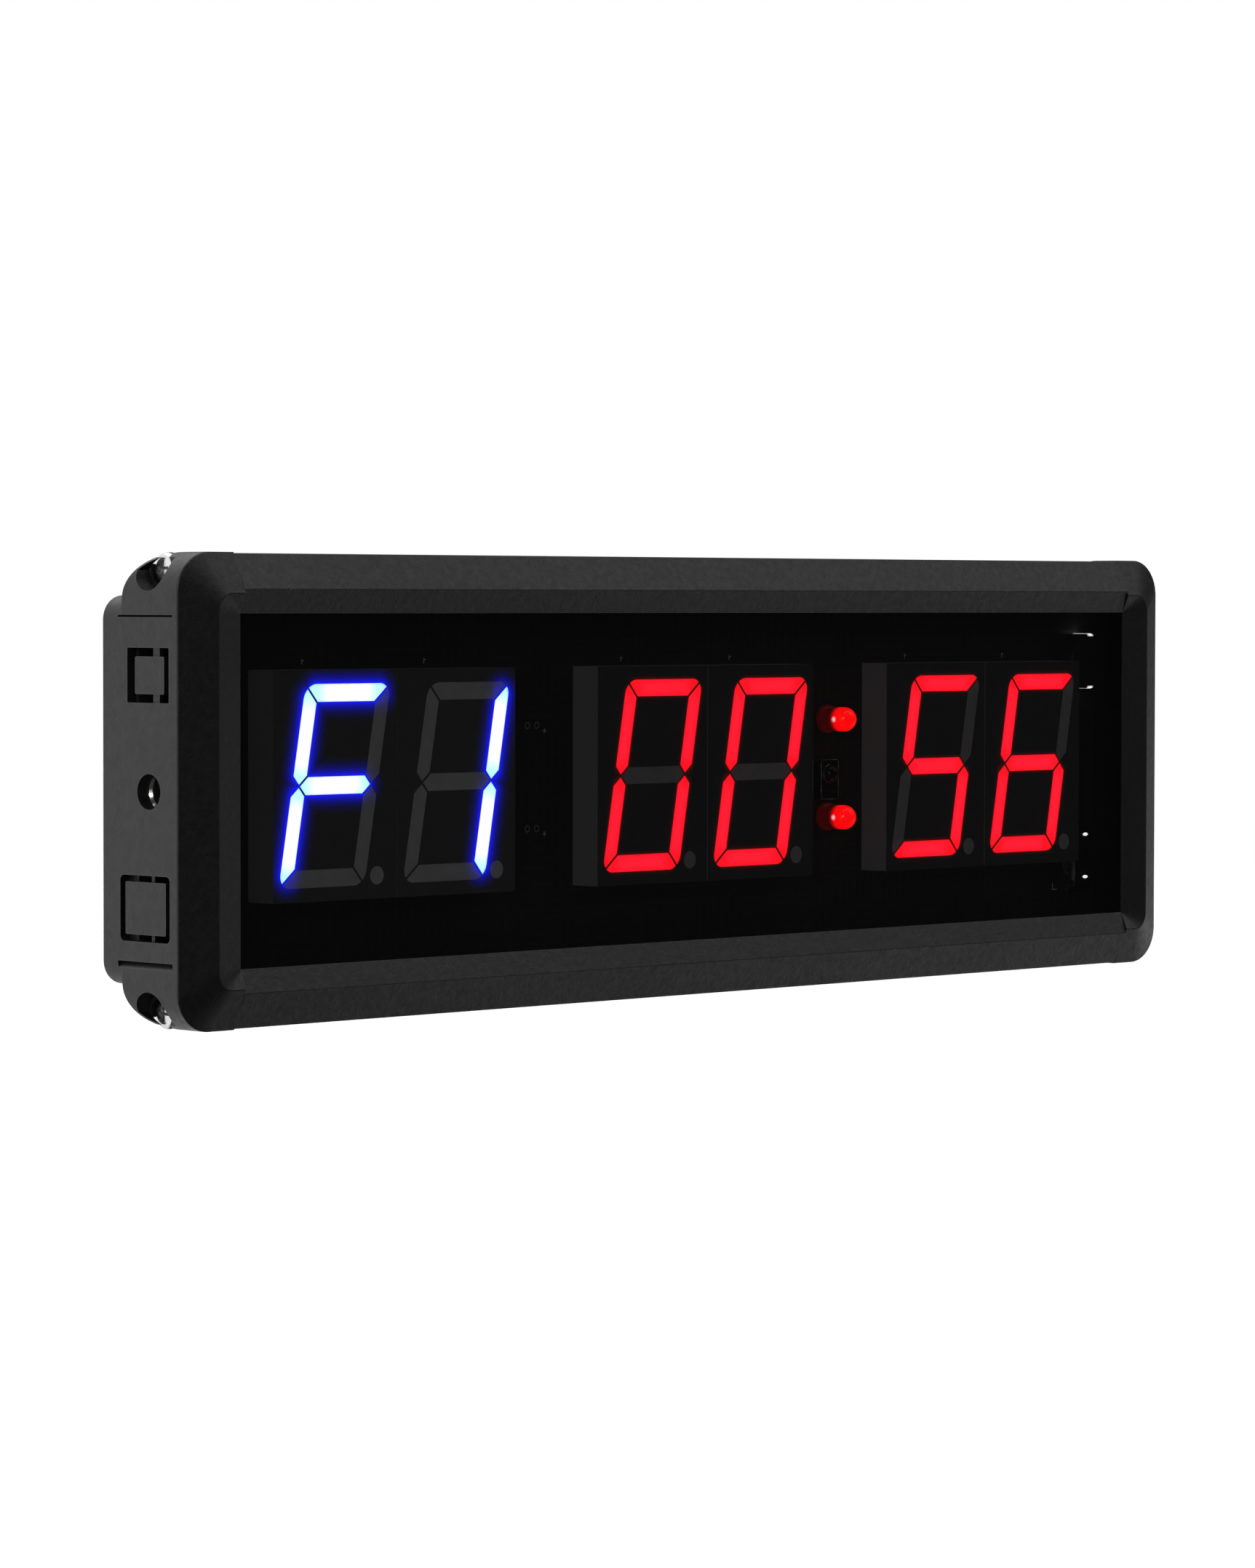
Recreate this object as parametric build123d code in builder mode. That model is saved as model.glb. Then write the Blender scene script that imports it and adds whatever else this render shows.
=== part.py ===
from build123d import *
import os
from math import cos, pi, radians, sin, tan

# Wall-hung interval timer for a gym: an extruded aluminium case with moulded end caps, a tinted lens,
# six seven-segment digits with a colon, the circuit board that drives them, and two hangers that
# slide in a slot along the back.
#
# All sizes are in millimetres. The origin is the centre of the flat land that meets the wall.
# +X points to the viewer's right, +Y into the wall and +Z up. A "distance" is measured out from
# the wall, so it is -Y.

# Case
body_length = 280.0
body_height = 88.0
body_depth = 25.0
cap_length = 13.5
cap_overhang = 0.2
corner_radius = 7.5
bevel_edge_distance = 21.6
lens_edge_distance = 23.4
lens_opening_length = 252.4
lens_opening_height = 65.4
lens_opening_corner = 0.2
ridge_length = 266.0
cap_ridge_height = 73.0
cap_ridge_radius = 3.5
case_ridge_height = 74.4
ridge_land = 0.25
shoulder_radius = 10.0
edge_round = 0.4

# Rear stand-off, the thick part of the section that meets the wall
standoff_height = 72.0
standoff_depth = 6.4
standoff_radius = 4.5
standoff_round = 0.6

# Hollow of the case
cavity_height = 66.0
cavity_back_distance = 8.0
lens_groove_height = 70.4
lens_groove = (21.0, 23.1)
board_groove_height = 68.6
board_groove = (11.3, 13.1)
chamber_height = 5.4
chamber = (14.8, 20.2)
chamber_centre = 39.6
chamber_corner = 0.6
rear_chamber_count = 3
rear_chamber_pitch = 12.8
rear_chamber_lowest = -27.7
rear_chamber_height = 11.4
rear_chamber_depth = 3.4
rear_chamber_corner = 0.5
rear_wall = 1.5

# Hanger slot along the back
slot_centre = 18.5
slot_opening = 18.0
slot_width = 25.0
lip_thickness = 1.6

# End caps
end_grooves = ((-32.6, -31.3), (32.0, 32.4))
end_groove_span = (4.6, 20.2)
end_groove_depth = 1.2
cap_inner_face = 137.8
cap_cavity_height = 68.8
lens_pocket_end = 130.2
peg_length = 5.0
peg_clearance = 0.3
trim_margin = 1.0

# Cap screws
screw_distance = 12.5
screw_height = 41.0
screw_seat = 133.8
screw_head_room = (3.15, 2.4)
screw_pocket_distance = 13.1
screw_pocket_radius = 4.2
screw_pocket_length = 10.0
screw_pocket_wall = 0.5
screw_head_radius = 2.95
screw_head_height = 1.9
screw_head_round = 1.0
cross_recess = (3.0, 0.6, 1.1)
screw_radius = 1.4
screw_clearance_radius = 1.65
screw_port_radius = 1.45
screw_length = 16.0

# Break-out panels of the left cap: (near, far) distances, (low, high) heights
small_panel_opening = ((7.4, 19.2), (16.3, 26.4))
small_panel_plate = ((9.6, 17.9), (17.9, 24.8))
small_panel_tab = (13.9, 15.7)
small_panel_corner = 0.2
large_panel_opening = ((5.3, 19.4), (-27.6, -15.4))
large_panel_plate = ((6.8, 18.3), (-26.3, -16.6))
large_panel_tab = (12.8, 13.6)
large_panel_corner = 1.0
panel_corner = 0.35
panel_thickness = 1.6
small_tab_recess = 0.8
large_tab_recess = 1.3

# Power inlet and its jack
inlet_distance = 13.5
inlet_radius = 3.3
jack_front = 137.7
jack_length = 14.0
jack_width = 9.0
jack_depth = 10.2
jack_round = 0.8
jack_bore_depth = 10.0
jack_stub_hole_depth = 12.0
jack_fit = 0.02
jack_clearance = 0.4
shell_radius = 3.5
shell_bore_radius = 2.95
shell_mouth = 0.45
shell_front = 137.1
shell_length = 8.6
jack_pin_radius = 1.0
jack_pin_tip = 136.0
jack_pin_round = 0.6
jack_stub_radius = 0.7
jack_stub_length = 1.9
jack_rib_gap = 0.2
jack_rib_thickness = 1.5
jack_rib_end = 130.0
lug_offset = 2.6
lug_size = (4.2, 2.2, 0.3)

# Lens and circuit board
lens_length = 259.6
lens_height = 70.0
lens_corner = 0.8
lens_thickness = 2.0
lens_back_distance = 21.05
board_length = 259.0
board_height = 68.0
board_corner = 1.0
board_front = 13.0
board_thickness = 1.6
board_back = board_front - board_thickness
pin_tail_distance = 9.8
pin_radius = 0.3
pin_hole_radius = 0.42

# Seven-segment display
display_centre_x = 0.2
display_centre_z = 0.45
group_pitch = 84.7
module_pitch = 31.2
module_width = 31.0
module_height = 43.4
module_front = 20.0
character_height = 38.1
character_width = 21.5
stroke = 3.75
segment_gap = 0.4
segment_corner = 3.0
segment_well = 4.5
segment_recess = 0.05
slant = tan(radians(10))
point_offset = (13.6, -17.3)
point_radius = 1.75
pin_row_offset = 19.2
pin_pitch = 2.54

# Colon lamps and remote receiver
colon_x = 42.65
colon_offset = 10.16
lamp_radius = 2.5
lamp_flange_radius = 2.9
lamp_flange_thickness = 1.0
lamp_tip_distance = 20.8
lamp_lead_offset = 1.27
receiver_centre = (41.4, -1.9)
receiver_size = (5.2, 8.2, 2.4)
receiver_round = 0.5
receiver_dome_radius = 1.9
receiver_dome_rise = 1.2
receiver_lead_pitch = 1.8
receiver_lead_drop = 3.1
lead_width = 0.5

# Buzzer and clock backup cell, at the right end of the board
end_parts_x = 122.8
buzzer_z = 22.1
buzzer_radius = 6.0
buzzer_height = 4.4
buzzer_round = 0.5
sound_hole_radius = 1.0
sound_hole_depth = 1.5
cell_z = -20.5
cell_radius = 6.25
cell_thickness = 2.0
cell_round = 0.4
clip_side_gap = 0.1
clip_top_gap = 0.05
clip_metal = 0.3
clip_foot = 1.2
clip_width = 5.0

# Parts on the back of the board: places are (x, z), sizes are (x, z, thickness)
part_gap = 0.1
leg_thickness = 0.2
leg_width = 0.3
leg_reach = 1.1
controller_places = [(0.0, -1.0)]
controller_size = (10.0, 10.0, 1.4)
controller_legs = (11, 0.8)
driver_places = [(-70.0, 0.0), (24.0, 0.0), (88.0, 0.0)]
driver_size = (15.4, 7.5, 2.2)
driver_legs = (12, 1.27)
crystal_places = [(-14.0, -1.0)]
crystal_size = (3.2, 5.0, 1.1)
regulator_places = [(-108.0, 7.0)]
regulator_size = (6.5, 3.5, 1.6)
inductor_places = [(-108.0, -7.0)]
inductor_size = (6.0, 6.0, 2.8)
capacitor_places = [(-98.0, 7.0), (-98.0, -7.0), (-84.0, 0.0), (10.0, 9.5), (38.0, -12.0), (73.0, 0.0)]
capacitor_size = (1.6, 3.2, 1.4)
resistor_row_z = 11.5
resistor_pitch = 2.6
resistor_size = (1.25, 2.0, 0.5)

# Wall hangers
hanger_rest_x = 85.0
hanger_length = 36.0
hanger_height = 24.0
hanger_distance = 1.9
hanger_thickness = 1.6
hanger_corner = 2.0
keyhole_radius = 4.5
keyhole_z = 14.5
keyhole_slot_radius = 2.3
keyhole_slot_z = 22.5
clamp_screw_radius = 1.5
clamp_screw_offset = 13.0
clamp_screw_ends = (1.05, 6.05)
thread_gap = 0.05
hex_socket_radius = 0.87
hex_socket_depth = 1.6

half_length = body_length / 2
half_height = body_height / 2
case_end = half_length - cap_length
jack_span = (inlet_distance - jack_depth / 2, inlet_distance + jack_depth / 2)
jack_back = jack_front - jack_length
shoulder_z = half_height - shoulder_radius
shoulder_distance = 15.7
left, right = -1, 1
from_start = (Align.CENTER, Align.CENTER, Align.MIN)
to_start = (Align.CENTER, Align.CENTER, Align.MAX)

os.makedirs("parts", exist_ok=True)


def save(piece, name):
    piece.part.label = name
    export_step(piece.part, f"parts/{name}.step")


def wall_plane(distance):
    """Plane parallel to the wall, facing the viewer; sketch axes are +X and +Z."""
    return Plane.XZ.offset(distance)


def cross_plane(x):
    """Plane across the case; sketch axes are +Y (the negative of distance) and +Z."""
    return Plane.YZ.offset(x)


def middle(span):
    return (span[0] + span[1]) / 2


def size(span):
    return abs(span[1] - span[0])


def block(x_span, distances, heights, mode=Mode.ADD):
    """Box between two x values, two distances from the wall and two heights."""
    with Locations((middle(x_span), -middle(distances), middle(heights))):
        Box(size(x_span), size(distances), size(heights), mode=mode)


def side_outline(overall_height, ridge_height, ridge_distance):
    """The case's outer cross section, without its rear stand-off."""
    radius = overall_height / 2 - shoulder_z
    bevel_top = (-bevel_edge_distance, overall_height / 2)
    shoulder_top = (-shoulder_distance, overall_height / 2)
    shoulder_mid = (-shoulder_distance + radius * sin(pi / 4), shoulder_z + radius * cos(pi / 4))
    shoulder_end = (-shoulder_distance + radius, shoulder_z)
    lens_edge = (-lens_edge_distance, lens_opening_height / 2)
    with BuildSketch() as outline:
        with BuildLine():
            Polyline((-lens_edge_distance, 0), lens_edge, (-ridge_distance, ridge_height / 2),
                     bevel_top, shoulder_top)
            ThreePointArc(shoulder_top, shoulder_mid, shoulder_end)
            Line(shoulder_end, (shoulder_end[0], 0))
            mirror(about=Plane.XZ)
        make_face()
    return outline.sketch


# ---------------------------------------------------------------------------------------------
# Case: one aluminium extrusion, open at both ends and along the front

with BuildPart() as body_extrusion:
    with BuildSketch(cross_plane(-case_end)) as case_section:
        add(side_outline(body_height - 2 * cap_overhang, case_ridge_height, body_depth - cap_overhang))
        edges_by_depth = case_section.vertices().group_by(Axis.X)
        fillet(edges_by_depth[0] + edges_by_depth[2], edge_round)
        with Locations((-standoff_depth / 2, 0)):
            RectangleRounded(standoff_depth, standoff_height, edge_round)
        # display hollow, with grooves for the lens and the circuit board
        with Locations((-(cavity_back_distance + lens_groove[1]) / 2, 0)):
            Rectangle(lens_groove[1] - cavity_back_distance, cavity_height, mode=Mode.SUBTRACT)
        with Locations((-middle(lens_groove), 0)):
            Rectangle(size(lens_groove), lens_groove_height, mode=Mode.SUBTRACT)
        with Locations((-middle(board_groove), 0)):
            Rectangle(size(board_groove), board_groove_height, mode=Mode.SUBTRACT)
        with Locations((-(lens_groove[1] + body_depth) / 2, 0)):
            Rectangle(body_depth - lens_groove[1], lens_opening_height, mode=Mode.SUBTRACT)
        # weight-saving chambers and screw ports above and below
        with Locations([(-middle(chamber), side * chamber_centre) for side in (-1, 1)]):
            RectangleRounded(size(chamber), chamber_height, chamber_corner, mode=Mode.SUBTRACT)
        with Locations([(-screw_distance, side * screw_height) for side in (-1, 1)]):
            Circle(screw_port_radius, mode=Mode.SUBTRACT)
        # ribbed chambers behind the lower half of the display
        rear_chamber_y = -rear_wall - rear_chamber_depth / 2
        with Locations([(rear_chamber_y, rear_chamber_lowest + rear_chamber_pitch * n)
                        for n in range(rear_chamber_count)]):
            RectangleRounded(rear_chamber_depth, rear_chamber_height, rear_chamber_corner,
                             mode=Mode.SUBTRACT)
        # slot for the hangers, with a lip along each side
        with Locations((-(lip_thickness + standoff_depth) / 2, slot_centre)):
            Rectangle(standoff_depth - lip_thickness, slot_width, mode=Mode.SUBTRACT)
        with Locations((-lip_thickness / 2, slot_centre)):
            Rectangle(lip_thickness, slot_opening, mode=Mode.SUBTRACT)
    extrude(amount=2 * case_end)
save(body_extrusion, "body_extrusion")


# ---------------------------------------------------------------------------------------------
# End caps: moulded plastic, each one carries an end of the front bezel

def break_out_panel(opening, plate, tab, tab_recess, corner):
    """Through opening in the cap's end face, with a plate hung in it on two thin tabs."""
    with BuildSketch(cross_plane(-half_length)) as window:
        with Locations((-middle(opening[0]), middle(opening[1]))):
            RectangleRounded(size(opening[0]), size(opening[1]), corner)
    with BuildSketch(cross_plane(-half_length)) as panel:
        with Locations((-middle(plate[0]), middle(plate[1]))):
            RectangleRounded(size(plate[0]), size(plate[1]), panel_corner)
    extrude(window.sketch, amount=half_length - cap_inner_face, mode=Mode.SUBTRACT)
    extrude(panel.sketch, amount=panel_thickness)
    block((-half_length + tab_recess, -half_length + panel_thickness), tab, opening[1])


def end_cap(side):
    """Cap for the left (-1) or right (+1) end of the case."""
    keep_end = Keep.BOTTOM if side < 0 else Keep.TOP

    def outward(near, far):
        return (side * near, side * far)

    with BuildPart() as cap:
        # block with rounded corners, then the bevel up to the ridge
        with BuildSketch(wall_plane(0)):
            RectangleRounded(body_length, body_height, corner_radius)
        extrude(amount=bevel_edge_distance)
        with BuildSketch(wall_plane(bevel_edge_distance)):
            RectangleRounded(body_length, body_height, corner_radius)
        with BuildSketch(wall_plane(body_depth)):
            RectangleRounded(ridge_length, cap_ridge_height, cap_ridge_radius)
        loft(ruled=True)
        fillet(cap.edges().filter_by_position(Axis.Y, -bevel_edge_distance, -bevel_edge_distance),
               edge_round)
        # rounded shoulders at the back
        with BuildSketch(cross_plane(-half_length)):
            add(side_outline(body_height, cap_ridge_height, body_depth + trim_margin))
            with Locations((-body_depth, 0)):
                Rectangle(2 * (body_depth - bevel_edge_distance), body_height + 2 * trim_margin)
        extrude(amount=body_length, mode=Mode.INTERSECT)
        # inner bevel, down to the lens
        inner_length = ridge_length - 2 * ridge_land
        inner_height = cap_ridge_height - 2 * ridge_land
        with BuildSketch(wall_plane(body_depth)):
            RectangleRounded(inner_length, inner_height, cap_ridge_radius - ridge_land)
        with BuildSketch(wall_plane(lens_edge_distance)):
            RectangleRounded(lens_opening_length, lens_opening_height, lens_opening_corner)
        loft(ruled=True, mode=Mode.SUBTRACT)
        # stand-off block, flush at the end, and a groove above and below the flat middle of the end face
        with BuildSketch(wall_plane(0)):
            RectangleRounded(body_length, standoff_height, standoff_radius)
        extrude(amount=standoff_depth)
        fillet(cap.faces().sort_by(Axis.Y)[-1].edges(), standoff_round)
        with BuildSketch(wall_plane(end_groove_span[0])):
            for groove_low, groove_high in end_grooves:
                with BuildLine():
                    Polyline((side * half_length, groove_low), (side * half_length, groove_high),
                             (side * (half_length - end_groove_depth), groove_high), close=True)
                make_face()
        extrude(amount=size(end_groove_span), mode=Mode.SUBTRACT)
        split(bisect_by=cross_plane(side * case_end), keep=keep_end)
        # hollow for the board and the lens ends, open towards the case
        block(outward(case_end, cap_inner_face), (lens_groove[0], cavity_back_distance),
              (-cap_cavity_height / 2, cap_cavity_height / 2), Mode.SUBTRACT)
        block(outward(case_end, lens_pocket_end), lens_groove,
              (-lens_groove_height / 2, lens_groove_height / 2), Mode.SUBTRACT)
        # pegs that enter the chambers of the case; holes, head room and pockets for the screws, which
        # leave a thin wall along the shoulder
        peg_half = chamber_height / 2 - peg_clearance
        for level in (-1, 1):
            peg_middle = level * chamber_centre
            block(outward(case_end - peg_length, case_end),
                  (chamber[0] + peg_clearance, chamber[1] - peg_clearance),
                  (peg_middle - peg_half, peg_middle + peg_half))
        with Locations(cross_plane(side * case_end)):
            with Locations([(-screw_distance, -screw_height), (-screw_distance, screw_height)]):
                Cylinder(screw_clearance_radius, 2 * cap_length, mode=Mode.SUBTRACT)
        room_radius, room_length = screw_head_room
        with Locations(cross_plane(side * (screw_seat + room_length / 2))):
            with Locations([(-screw_distance, -screw_height), (-screw_distance, screw_height)]):
                Cylinder(room_radius, room_length, mode=Mode.SUBTRACT)
        for level in (-1, 1):
            with BuildSketch(cross_plane(side * (screw_seat + room_length))):
                with Locations((-screw_pocket_distance, level * screw_height)):
                    Circle(screw_pocket_radius)
                with Locations((-shoulder_distance, level * shoulder_z)):
                    Circle(shoulder_radius - screw_pocket_wall, mode=Mode.INTERSECT)
            extrude(amount=side * screw_pocket_length, mode=Mode.SUBTRACT)
        if side < 0:
            break_out_panel(small_panel_opening, small_panel_plate, small_panel_tab, small_tab_recess,
                            small_panel_corner)
            break_out_panel(large_panel_opening, large_panel_plate, large_panel_tab, large_tab_recess,
                            large_panel_corner)
            # power inlet hole, with a rib above and below the jack behind it
            with Locations(Location((-half_length, -inlet_distance, 0), (0, 90, 0))):
                Cylinder(inlet_radius, 2 * (half_length - cap_inner_face), mode=Mode.SUBTRACT)
            for level in (-1, 1):
                rib_foot = level * (jack_width / 2 + jack_rib_gap)
                rib_top = rib_foot + level * jack_rib_thickness
                block((-cap_inner_face, -jack_rib_end), jack_span, (rib_foot, rib_top))
    return cap


for end_name, end_side in (("left", left), ("right", right)):
    save(end_cap(end_side), f"{end_name}_end_cap")


# ---------------------------------------------------------------------------------------------
# Cap screws: pan heads with a cross recess, two at each end

def cap_screws(side):
    """Two self-tapping screws that run inwards through a cap into the case's screw ports."""
    seat = side * screw_seat
    outward_turn = (0, 90 * side, 0)
    recess_length, recess_width, recess_depth = cross_recess
    with BuildPart() as screws:
        for level in (-1, 1):
            axis_point = (-screw_distance, level * screw_height)
            with Locations(Location((seat, *axis_point), outward_turn)):
                Cylinder(screw_radius, screw_length, align=to_start)
                Cylinder(screw_head_radius, screw_head_height, align=from_start)
        heads = screws.edges().filter_by(GeomType.CIRCLE).group_by(Axis.X)[0 if side < 0 else -1]
        fillet(heads, screw_head_round)
        for level in (-1, 1):
            axis_point = (-screw_distance, level * screw_height)
            recess_point = (seat + side * screw_head_height, *axis_point)
            with Locations(Location(recess_point, outward_turn)):
                Box(recess_length, recess_width, 2 * recess_depth, mode=Mode.SUBTRACT)
                Box(recess_width, recess_length, 2 * recess_depth, mode=Mode.SUBTRACT)
    return screws


save(cap_screws(left), "left_cap_screws")
save(cap_screws(right), "right_cap_screws")


# ---------------------------------------------------------------------------------------------
# Lens: a tinted sheet that slides along the front groove

with BuildPart() as lens_panel:
    with BuildSketch(wall_plane(lens_back_distance)):
        RectangleRounded(lens_length, lens_height, lens_corner)
    extrude(amount=lens_thickness)
save(lens_panel, "lens_panel")


# ---------------------------------------------------------------------------------------------
# Seven-segment modules

def segment_outlines():
    """Outlines of segments a to g and the point, centred on a digit and leaning to the right."""
    hw, hh = (character_width + segment_gap) / 2, (character_height + segment_gap) / 2
    arc_45 = segment_corner * (1 - cos(pi / 4))
    arc_22 = segment_corner * (1 - cos(pi / 8))
    arc_67 = segment_corner * (1 - sin(pi / 8))

    def lean(x, z):
        return (x + z * slant, z)

    def outline(*points, corners=()):
        """Closed outline through points; corners name the arcs that replace straight runs."""
        with BuildSketch() as face:
            with BuildLine():
                for n, start in enumerate(points):
                    end = points[(n + 1) % len(points)]
                    if n in corners:
                        ThreePointArc(lean(*start), lean(*corners[n]), lean(*end))
                    else:
                        Line(lean(*start), lean(*end))
            make_face()
            offset(amount=-segment_gap / 2, kind=Kind.INTERSECTION)
        return face.sketch

    def top_bar(up):
        return outline((-hw + arc_45, up * (hh - arc_45)), (-hw + segment_corner, up * hh),
                       (hw - segment_corner, up * hh), (hw - arc_45, up * (hh - arc_45)),
                       (hw - stroke, up * (hh - stroke)), (-hw + stroke, up * (hh - stroke)),
                       corners={0: (-hw + arc_67, up * (hh - arc_22)),
                                2: (hw - arc_67, up * (hh - arc_22))})

    def side_bar(across, up):
        return outline((across * (hw - arc_45), up * (hh - arc_45)),
                       (across * hw, up * (hh - segment_corner)),
                       (across * hw, up * stroke / 2), (across * (hw - stroke / 2), 0),
                       (across * (hw - stroke), up * stroke / 2),
                       (across * (hw - stroke), up * (hh - stroke)),
                       corners={0: (across * (hw - arc_22), up * (hh - arc_67))})

    middle_bar = outline((-hw + stroke / 2, 0), (-hw + stroke, stroke / 2), (hw - stroke, stroke / 2),
                         (hw - stroke / 2, 0), (hw - stroke, -stroke / 2), (-hw + stroke, -stroke / 2))
    with BuildSketch() as point:
        with Locations(lean(*point_offset)):
            Circle(point_radius)
    return {"a": top_bar(1), "b": side_bar(1, 1), "c": side_bar(1, -1), "d": top_bar(-1),
            "e": side_bar(-1, -1), "f": side_bar(-1, 1), "g": middle_bar, "point": point.sketch}


outlines = segment_outlines()


def bars(names, x, distance):
    """Sketch of the named bars of a digit centred at x, on a plane parallel to the wall."""
    with BuildSketch(wall_plane(distance)) as face:
        with Locations((x, display_centre_z)):
            for name in names:
                add(outlines[name])
    return face.sketch


def digit(number, x, lit):
    """Housing, lit bars and unlit bars of one digit module centred at x."""
    unlit = [name for name in outlines if name not in lit]
    well_floor = module_front - segment_well
    with BuildPart() as housing:
        with BuildSketch(wall_plane(board_front)):
            with Locations((x, display_centre_z)):
                Rectangle(module_width, module_height)
        extrude(amount=module_front - board_front)
        extrude(bars(outlines, x, well_floor), amount=segment_well, mode=Mode.SUBTRACT)
    save(housing, f"digit_{number}_housing")
    for state, names in (("lit", lit), ("unlit", unlit)):
        with BuildPart() as diffusers:
            extrude(bars(names, x, well_floor), amount=segment_well - segment_recess)
        save(diffusers, f"digit_{number}_{state}_segments")


group_centres = [display_centre_x + group_pitch * n for n in (-1, 0, 1)]
module_centres = [centre + module_pitch / 2 * side for centre in group_centres for side in (-1, 1)]
shown_bars = ("aefg", "bc", "abcdef", "abcdef", "acdfg", "acdefg")
for number, (x, lit) in enumerate(zip(module_centres, shown_bars), start=1):
    digit(number, x, lit)

pin_columns = [pin_pitch * n for n in range(-2, 3)]
module_pin_places = [(x + column, display_centre_z + row)
                     for x in module_centres for row in (-pin_row_offset, pin_row_offset)
                     for column in pin_columns]

with BuildPart() as display_pins:
    with BuildSketch(wall_plane(pin_tail_distance)):
        with Locations(module_pin_places):
            Circle(pin_radius)
    extrude(amount=board_front - pin_tail_distance)
save(display_pins, "display_pins")


# ---------------------------------------------------------------------------------------------
# Colon lamps and the receiver for the remote control

def colon_lamp(z):
    """Round lamp standing on the board: flange, straight sides and a domed tip."""
    dome_distance = lamp_tip_distance - lamp_radius
    with BuildPart() as lamp:
        with BuildSketch(Plane.XY):
            with BuildLine():
                Polyline((0, 0), (lamp_flange_radius, 0), (lamp_flange_radius, lamp_flange_thickness),
                         (lamp_radius, lamp_flange_thickness), (lamp_radius, dome_distance - board_front))
                RadiusArc((lamp_radius, dome_distance - board_front),
                          (0, lamp_tip_distance - board_front), -lamp_radius)
                Line((0, lamp_tip_distance - board_front), (0, 0))
            make_face()
        revolve(axis=Axis.Y)
    return lamp.part.rotate(Axis.X, 180).moved(Location((colon_x, -board_front, z)))


lamp_heights = {"upper": display_centre_z + colon_offset, "lower": display_centre_z - colon_offset}
for place, z in lamp_heights.items():
    with BuildPart() as lamp:
        add(colon_lamp(z))
    save(lamp, f"{place}_colon_lamp")

receiver_x, receiver_z = receiver_centre
lead_places = [(colon_x + side * lamp_lead_offset, z) for z in lamp_heights.values() for side in (-1, 1)]
receiver_lead_places = [(receiver_x + receiver_lead_pitch * n, receiver_z - receiver_lead_drop)
                        for n in (-1, 0, 1)]

with BuildPart() as colon_lamp_leads:
    with BuildSketch(wall_plane(pin_tail_distance)):
        with Locations(lead_places):
            Rectangle(lead_width, lead_width)
    extrude(amount=board_front - pin_tail_distance)
save(colon_lamp_leads, "colon_lamp_leads")

with BuildPart() as remote_receiver:
    with BuildSketch(wall_plane(board_front)):
        with Locations(receiver_centre):
            RectangleRounded(receiver_size[0], receiver_size[1], receiver_round)
    extrude(amount=receiver_size[2])
    with Locations((receiver_x, -board_front - receiver_size[2], receiver_z + receiver_dome_rise)):
        Sphere(receiver_dome_radius)
    split(bisect_by=wall_plane(board_front), keep=Keep.TOP)
save(remote_receiver, "remote_receiver")

with BuildPart() as remote_receiver_leads:
    with BuildSketch(wall_plane(pin_tail_distance)):
        with Locations(receiver_lead_places):
            Rectangle(lead_width, lead_width)
    extrude(amount=board_front - pin_tail_distance)
save(remote_receiver_leads, "remote_receiver_leads")


# ---------------------------------------------------------------------------------------------
# Circuit board, held by the grooves of the case and notched around the power jack

with BuildPart() as main_circuit_board:
    with BuildSketch(wall_plane(board_back)):
        RectangleRounded(board_length, board_height, board_corner)
        with Locations((-board_length / 2, 0)):
            Rectangle(board_length - 2 * jack_back + 2 * jack_clearance, jack_width + 2 * jack_clearance,
                      mode=Mode.SUBTRACT)
        with Locations(module_pin_places + lead_places + receiver_lead_places):
            Circle(pin_hole_radius, mode=Mode.SUBTRACT)
    extrude(amount=board_thickness)
save(main_circuit_board, "main_circuit_board")


# ---------------------------------------------------------------------------------------------
# Buzzer and clock backup cell, on the front of the board at its right end

with BuildPart() as buzzer:
    with BuildSketch(wall_plane(board_front)):
        with Locations((end_parts_x, buzzer_z)):
            Circle(buzzer_radius)
    extrude(amount=buzzer_height)
    fillet(buzzer.faces().sort_by(Axis.Y)[0].edges(), buzzer_round)
    with Locations(wall_plane(board_front + buzzer_height)):
        with Locations((end_parts_x, buzzer_z)):
            Hole(sound_hole_radius, depth=sound_hole_depth)
save(buzzer, "buzzer")

with BuildPart() as backup_cell:
    with BuildSketch(wall_plane(board_front)):
        with Locations((end_parts_x, cell_z)):
            Circle(cell_radius)
    extrude(amount=cell_thickness)
    fillet(backup_cell.faces().sort_by(Axis.Y)[0].edges(), cell_round)
save(backup_cell, "backup_cell")

with BuildPart() as cell_clip:
    side_in = cell_radius + clip_side_gap
    side_out = side_in + clip_metal
    top_in = board_front + cell_thickness + clip_top_gap
    top_out = top_in + clip_metal
    foot_top = board_front + clip_metal
    across_clip = (end_parts_x - clip_width / 2, end_parts_x + clip_width / 2)
    block(across_clip, (board_front, top_out), (cell_z - side_out, cell_z + side_out))
    foot_reach = side_out + clip_foot
    block(across_clip, (board_front, foot_top), (cell_z - foot_reach, cell_z + foot_reach))
    block(across_clip, (board_front, top_in), (cell_z - side_in, cell_z + side_in), Mode.SUBTRACT)
save(cell_clip, "cell_clip")


# ---------------------------------------------------------------------------------------------
# Parts on the back of the board, between it and the case

def back_parts(name, places, part_size, gap=0.0):
    """One or more equal blocks mounted on the back of the board, or held off it by a gap."""
    length, height, thickness = part_size
    with BuildPart() as blocks:
        with BuildSketch(wall_plane(board_back - gap - thickness)):
            with Locations(places):
                Rectangle(length, height)
        extrude(amount=thickness)
    save(blocks, name)


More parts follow.
